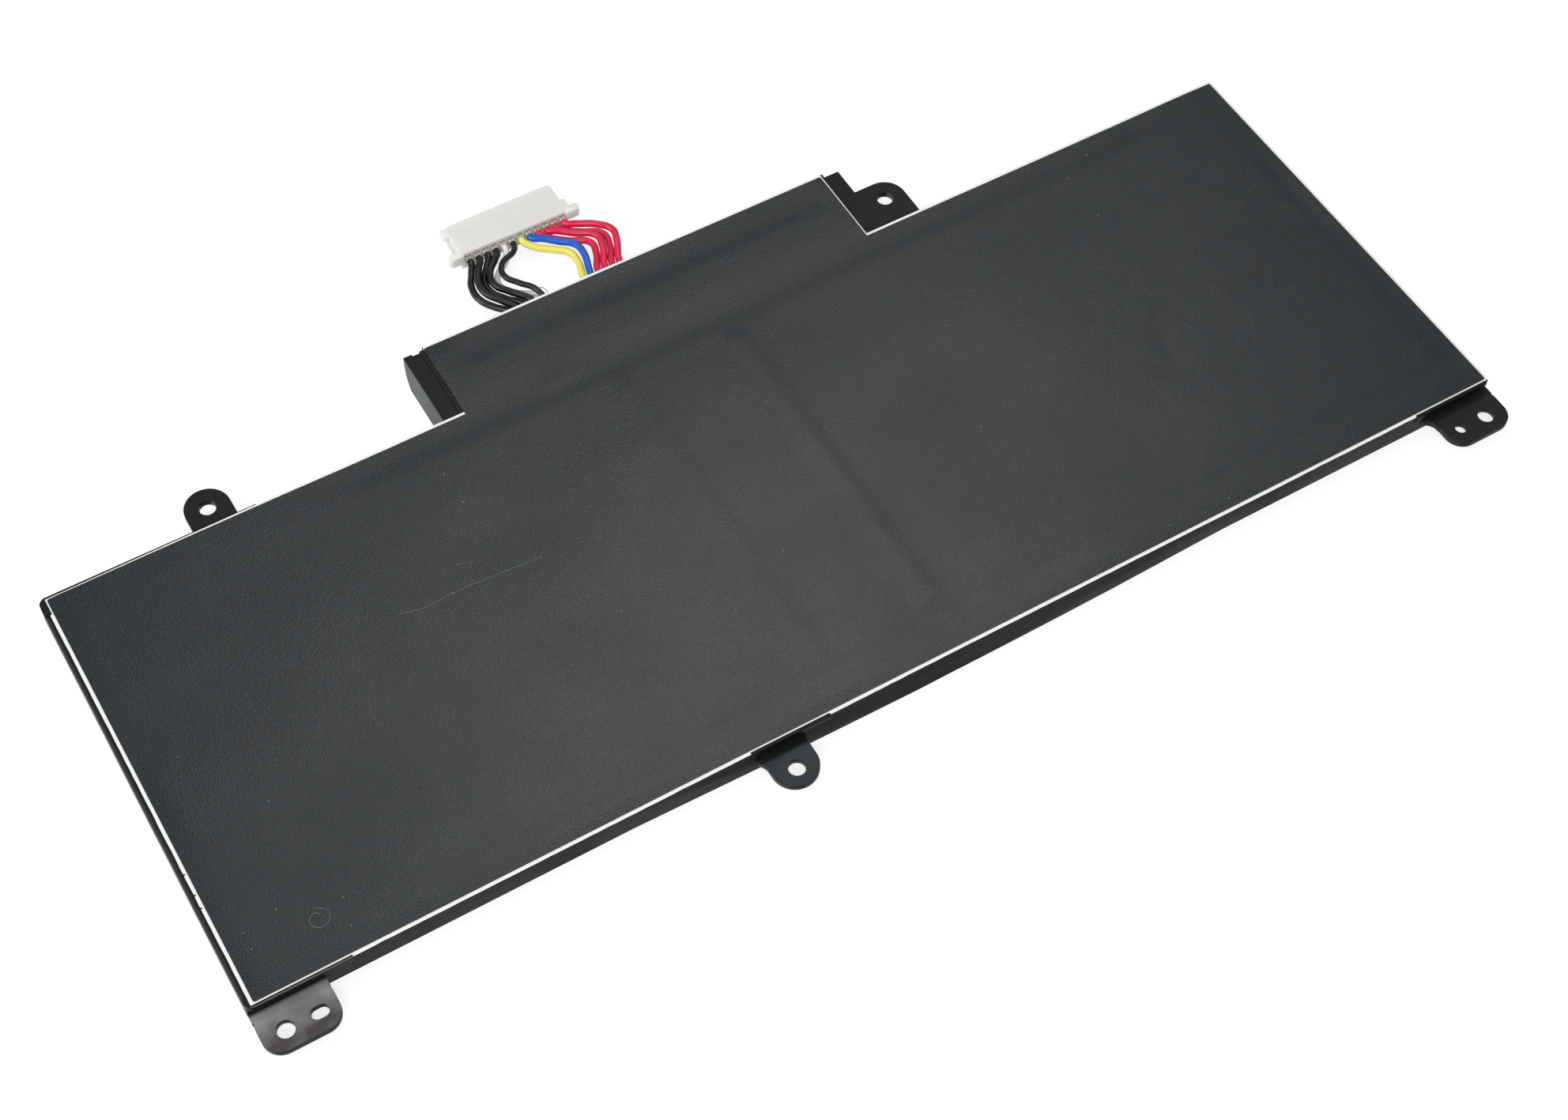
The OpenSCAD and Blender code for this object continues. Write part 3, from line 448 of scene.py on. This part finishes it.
# Solder joints
# Each lead's end is soldered to the board. The joints are smooth, bright tin alloy, in plain
# blocks, since the film hides them.
solder, at = new_material("reflowed_solder")
flux = add_node(solder, "ShaderNodeTexNoise", {"Vector": at, "Scale": 1 / (0.3 * mm)})
solder_rough = add_node(solder, "ShaderNodeMapRange",
                        {"Value": flux, "From Min": 0.35, "From Max": 0.65,
                         "To Min": 0.2, "To Max": 0.35})
solder_shader = add_node(solder, "ShaderNodeBsdfPrincipled",
                         {"Base Color": linear("#b4b2ad"), "Metallic": 1.0, "Roughness": solder_rough})
add_node(solder, "ShaderNodeOutputMaterial", {"Surface": solder_shader})
dress(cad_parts["solder_joints"], solder)

# Plug contacts
# Tinned bronze strip, stamped and folded, one contact for each lead and crimped round its end.
# The tin has dulled to a pale brownish grey.
tinned, at = new_material("dulled_tinned_bronze")
dulling = add_node(tinned, "ShaderNodeTexNoise", {"Vector": at, "Scale": 1 / (0.4 * mm), "Detail": 3})
tin_colour = add_node(tinned, "ShaderNodeMix",
                      {0: dulling, 6: linear("#c2bdb1"), 7: linear("#e8e4da")}, data_type="RGBA")
tin_rough = add_node(tinned, "ShaderNodeMapRange",
                     {"Value": dulling, "From Min": 0.35, "From Max": 0.65,
                      "To Min": 0.35, "To Max": 0.5})
tin_shader = add_node(tinned, "ShaderNodeBsdfPrincipled",
                      {"Base Color": tin_colour.outputs[2], "Metallic": 0.3, "Roughness": tin_rough})
add_node(tinned, "ShaderNodeOutputMaterial", {"Surface": tin_shader})
dress(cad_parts["plug_contacts"], tinned)

# Plug housing
# Natural white nylon, injection moulded, with wings at the wire face that the fingers pull on.
# It lets a little light through, so its edges stay soft.
nylon, at = new_material("natural_white_nylon")
flow = add_node(nylon, "ShaderNodeTexNoise", {"Vector": at, "Scale": 1 / (2 * mm), "Detail": 2})
nylon_colour = add_node(nylon, "ShaderNodeMix",
                        {0: flow, 6: linear("#e2e0dc"), 7: linear("#ebe9e6")}, data_type="RGBA")
flow_bump = add_node(nylon, "ShaderNodeBump", {"Height": flow, "Distance": 0.02 * mm, "Strength": 0.4})
nylon_shader = add_node(nylon, "ShaderNodeBsdfPrincipled",
                        {"Base Color": nylon_colour.outputs[2], "Roughness": 0.42,
                         "Subsurface Weight": 0.6, "Subsurface Radius": (1, 0.97, 0.94),
                         "Subsurface Scale": 1.2 * mm, "Normal": flow_bump})
add_node(nylon, "ShaderNodeOutputMaterial", {"Surface": nylon_shader})
housing = copy_of_node("plug_housing", "plug_housing_nylon")
apply_modifier(housing, "BEVEL", width=0.1 * mm, segments=3, limit_method="ANGLE",
               angle_limit=math.radians(40), use_clamp_overlap=True)
smooth(housing)
dress(housing, nylon)
place_on_root(housing, "plug_nylon", "plug_housing")

# White sheet
# A white polyester sheet is stuck on the frame's rim. It shows as a bright border round the black
# film, a little uneven where a knife trimmed it, with three nicks on the left.
sheet_step = 1.2
trim_wander = 0.1
trim_wave = 2.5
on_the_edge = 0.02
nicks = [(-84.4, -11.8), (-84.4, -14.7), (-84.4, -16.5)]
nick_r = 0.16
nick_depth = 0.35
white_polyester, at = new_material("white_polyester_sheet")
haze = add_node(white_polyester, "ShaderNodeTexNoise", {"Vector": at, "Scale": 1 / (3 * mm), "Detail": 3})
polyester_colour = add_node(white_polyester, "ShaderNodeMix",
                            {0: haze, 6: linear("#e9ebec"), 7: linear("#f6f7f8")}, data_type="RGBA")
polyester_shader = add_node(white_polyester, "ShaderNodeBsdfPrincipled",
                            {"Base Color": polyester_colour.outputs[2], "Roughness": 0.4})
add_node(white_polyester, "ShaderNodeOutputMaterial", {"Surface": polyester_shader})


def slice_into_squares(piece, node, step):
    """Cuts the piece along X and Y at this spacing in mm, over its node's box."""
    lowest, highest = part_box(node)
    take_only(piece)
    bpy.ops.object.mode_set(mode="EDIT")
    for axis in (0, 1):
        cut_count = int((highest[axis] - lowest[axis]) / (step * mm))
        for number in range(1, cut_count + 1):
            cut_at = [0, 0, 0]
            cut_at[axis] = lowest[axis] + number * step * mm
            facing = [0, 0, 0]
            facing[axis] = 1
            bpy.ops.mesh.select_all(action="SELECT")
            bpy.ops.mesh.bisect(plane_co=cut_at, plane_no=facing)
    bpy.ops.object.mode_set(mode="OBJECT")


sheet = copy_of_node("top_sheet", "white_sheet_trimmed")
lowest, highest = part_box("top_sheet")
slice_into_squares(sheet, "top_sheet", sheet_step)
nick_cuts = [nick[1] + side * nick_r for nick in nicks for side in (-1, 0, 1)]
bpy.ops.object.mode_set(mode="EDIT")
for cut_y in nick_cuts:
    bpy.ops.mesh.select_all(action="SELECT")
    bpy.ops.mesh.bisect(plane_co=(0, cut_y * mm, 0), plane_no=(0, 1, 0))
bpy.ops.object.mode_set(mode="OBJECT")
for vertex in sheet.data.vertices:
    x, y, z = vertex.co / mm
    trimmed = trim_wander * abs(noise.noise(Vector((x / trim_wave, y / trim_wave, 0))))
    for nick_x, nick_y in nicks:
        away = math.hypot(x - nick_x, y - nick_y)
        trimmed += nick_depth * max(0, 1 - away / nick_r)
    if vertex.co.x - lowest[0] < on_the_edge * mm:
        vertex.co.x += trimmed * mm
    if highest[0] - vertex.co.x < on_the_edge * mm:
        vertex.co.x -= trimmed * mm
    if vertex.co.y - lowest[1] < on_the_edge * mm:
        vertex.co.y += trimmed * mm
dress(sheet, white_polyester)
place_on_root(sheet, "white_sheet", "top_sheet")

# Black film
# A matt black polyester film is laid over the white sheet. It takes the print of the cells' edges,
# the ribs and the board under it, and a shallow dent curves across its right half.
film_step = 0.9
fade = 2
flat_rise = 0.05
deepest = -0.07
left_rib_x = -9.8
right_rib_x = 6.2
cell_front_y = -25.4
cell_back_y = 25
cell_right_x = 82.8
board_front_y = 28.5
board_back_y = 35.8
dent = [(49.5, -7.8), (52.0, -8.5), (52.4, -5.3), (54.6, -0.6), (58.2, 1.9), (61.2, 4.7),
        (64.3, 6.9), (69.9, 7.6), (75.0, 5.9), (79.9, 3.7), (81.6, 1.6)]
# Each crease has its height, its width and its line.
creases = [(0.05, 0.8, [(-17.9, 28.6), (-14.3, 29.0)]),
           (0.05, 0.6, [(10.0, 24.3), (9.9, 22.2)]),
           (-0.04, 0.7, [(48.1, 5.4), (47.2, 4.0)]),
           (0.035, 0.6, [(14.1, -22.8), (13.2, -26.2)]),
           (-0.04, 1.1, dent)]
low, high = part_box("top_film")


def bell(distance, width):
    """1 at no distance, fading to 0 a few widths away."""
    return math.exp(-(distance / width) ** 2)


def step_up(value, start, end):
    """0 before start, 1 after end, and smooth between them."""
    part = min(1, max(0, (value - start) / (end - start)))
    return part * part * (3 - 2 * part)


def from_line(x, y, points):
    """The distance from a point to a line of straight pieces."""
    nearest = 1000
    for (ax, ay), (bx, by) in zip(points, points[1:]):
        along_x, along_y = bx - ax, by - ay
        part = ((x - ax) * along_x + (y - ay) * along_y) / (along_x ** 2 + along_y ** 2)
        part = min(1, max(0, part))
        nearest = min(nearest, math.hypot(x - ax - part * along_x, y - ay - part * along_y))
    return nearest


def film_rise(x, y):
    """How far the film's face stands over its flat there, in mm."""
    middle = step_up(y, -24.5, -21) * (1 - step_up(y, 22.5, 25.5))
    rise = flat_rise + 0.08 * bell(x - left_rib_x, 1.5) * middle
    rise += 0.12 * bell(x - right_rib_x, 1.4) * middle
    rise -= 0.06 * bell(y - cell_front_y, 1.3) * step_up(x, -78, -60)
    rise -= 0.06 * bell(x - cell_right_x, 1)
    behind_cells = step_up(y, cell_back_y, cell_back_y + 2.4)
    rise -= 0.08 * behind_cells * step_up(x, -52, -40) * (1 - step_up(x, 70, 78))
    rise += 0.06 * step_up(y, board_front_y, board_front_y + 4.5)
    behind_board = step_up(y, board_back_y, board_back_y + 2.2)
    rise -= 0.08 * behind_board * step_up(x, -29, -24) * (1 - step_up(x, 26, 29))
    for height, width, line in creases:
        rise += height * bell(from_line(x, y, line), width)
    rise += 0.09 * noise.noise(Vector((x / 20, y / 12, 0.3)))
    rise += 0.012 * noise.noise(Vector((x / 4, y / 4, 5.1)))
    edge = min(x - low[0] / mm, high[0] / mm - x, y - low[1] / mm, high[1] / mm - y)
    return max(deepest, rise) * step_up(edge, 0, fade)


film = copy_of_node("top_film", "top_film_sheet")
slice_into_squares(film, "top_film", film_step)
for vertex in film.data.vertices:
    if vertex.co.z > high[2] - 0.01 * mm:
        vertex.co.z += film_rise(vertex.co.x / mm, vertex.co.y / mm) * mm
smooth(film)
dress(film, matt_film)
place_on_root(film, "black_film", "top_film")

# Lint
# Fine pale fibres and specks of dust lie loose on the film. One fibre is long and nearly straight,
# one is short, and one is curled.
lint_material, at = new_material("pale_dust_lint")
fluff = add_node(lint_material, "ShaderNodeTexNoise", {"Vector": at, "Scale": 1 / (0.5 * mm)})
lint_colour = add_node(lint_material, "ShaderNodeMix",
                       {0: fluff, 6: linear("#5a5e60"), 7: linear("#7c8182")}, data_type="RGBA")
lint_shader = add_node(lint_material, "ShaderNodeBsdfPrincipled",
                       {"Base Color": lint_colour.outputs[2], "Roughness": 0.8})
add_node(lint_material, "ShaderNodeOutputMaterial", {"Surface": lint_shader})
fibre_widths = [0.055, 0.04, 0.06]
fibres = [
    [(-49.0, 7.1), (-46.8, 6.4), (-42.3, 6.5), (-37.5, 6.3), (-32.9, 6.0), (-30.8, 5.8)],
    [(-42.1, 9.6), (-40.4, 9.9), (-38.0, 9.4)],
    [(-73.7, -22.7), (-72.5, -23.8), (-73.5, -25.2), (-74.8, -24.4), (-74.2, -23.3), (-73.2, -23.7)],
]
specks = [(-35.3, 17.7), (-42.3, 6.5), (-14.6, -12.3), (-5.4, -7.8), (-79.0, 2.2), (-72.5, -8.1),
          (-70.4, -23.1), (-71.1, -26.6), (-44.5, -22.1), (-40.1, -24.2), (-35.4, 22.6),
          (57.8, 24.8), (57.7, 17.4), (62.5, 27.0), (45.5, -28.3), (41.8, -28.6), (36.9, -28.0),
          (25.3, -4.1), (-77.3, -20.7), (-81.6, -21.6), (-81.6, -23.8), (20.3, 21.4), (-26.3, -5.7)]
speck_r = 0.13
film_top = high[2] / mm
lint = []
for fibre, width in zip(fibres, fibre_widths):
    on_film = [(x, y, film_top + film_rise(x, y)) for x, y in fibre]
    lint.append(tube_through(on_film, width, "fibre"))
for x, y in specks:
    bpy.ops.object.select_all(action="DESELECT")
    where = Vector((x, y, film_top + film_rise(x, y))) * mm
    bpy.ops.mesh.primitive_ico_sphere_add(subdivisions=2, radius=speck_r * mm, location=where)
    speck = bpy.context.object
    speck.scale = (1, 0.6 + 0.4 * abs(noise.noise(Vector((x, y, 1)))), 0.35)
    speck.rotation_euler = (0, 0, x)
    bpy.ops.object.transform_apply(location=True, rotation=True, scale=True)
    lint.append(speck)
take_only(lint[0])
for piece in lint:
    piece.select_set(True)
bpy.ops.object.join()
lint[0].name = "film_lint"
lint[0].data.materials.clear()
dress(lint[0], lint_material)
place_on_root(lint[0], "white_sheet")

# Floor, light and camera
# A plain white table under a long strip light high at the back, whose sheen crosses the film, and
# two softboxes at the left and the front.
table_size = 40
table_drop = 0.2
world_light = 0.43
table_white, at = new_material("white_table")
rays = add_node(table_white, "ShaderNodeLightPath")
seen_or_mirrored = add_node(table_white, "ShaderNodeMath",
                            {0: rays.outputs["Is Camera Ray"], 1: rays.outputs["Is Glossy Ray"]},
                            operation="MAXIMUM")
shows_white = add_node(table_white, "ShaderNodeMath",
                       {0: seen_or_mirrored, 1: rays.outputs["Is Transmission Ray"]},
                       operation="MAXIMUM")
shaded = add_node(table_white, "ShaderNodeBsdfDiffuse", {"Color": linear("#a4a4a4")})
glow = add_node(table_white, "ShaderNodeEmission", {"Color": linear("#ffffff"), "Strength": 0.75})
white = add_node(table_white, "ShaderNodeAddShader", {0: shaded, 1: glow})
plain = add_node(table_white, "ShaderNodeBsdfDiffuse", {"Color": linear("#d8d8d8")})
table_shader = add_node(table_white, "ShaderNodeMixShader", {0: shows_white, 1: plain, 2: white})
add_node(table_white, "ShaderNodeOutputMaterial", {"Surface": table_shader})
bpy.ops.object.select_all(action="DESELECT")
bpy.ops.mesh.primitive_plane_add(size=table_size, location=(0, 0, -table_drop * mm))
table = bpy.context.object
table.name = "table"
dress(table, table_white)


def softbox(name, place, width, depth, power):
    """A flat lamp that faces the middle of the pack, with its width along the pack."""
    bpy.ops.object.light_add(type="AREA", location=place)
    lamp = bpy.context.object
    lamp.name = name
    lamp.data.shape = "RECTANGLE"
    lamp.data.size = width
    lamp.data.size_y = depth
    lamp.data.energy = power
    away = Vector(place).normalized()
    along = (Vector((1, 0, 0)) - away * away.x).normalized()
    lamp.rotation_euler = Matrix((along, away.cross(along), away)).transposed().to_euler()


softbox("strip_light_back", (0.2, 0.355, 0.744), 0.42, 0.14, 0.9)
softbox("softbox_left", (-0.8, 0.2, 0.45), 0.5, 0.5, 3.5)
softbox("softbox_front", (-0.35, -0.55, 0.75), 0.5, 0.5, 4.2)
world = bpy.data.worlds.new("studio")
world.use_nodes = True
world.node_tree.nodes["Background"].inputs[0].default_value = (1, 1, 1, 1)
world.node_tree.nodes["Background"].inputs[1].default_value = world_light
bpy.context.scene.world = world

bpy.ops.object.camera_add(location=(-96.21 * mm, -153.71 * mm, 256.58 * mm))
camera = bpy.context.object
camera.rotation_euler = [math.radians(turn) for turn in (33.971, -0.8685, -30.6442)]
camera.data.lens = 58.66
camera.data.sensor_width = 36
camera.data.clip_start = 0.01
bpy.context.scene.camera = camera
bpy.context.scene.view_settings.view_transform = "Standard"
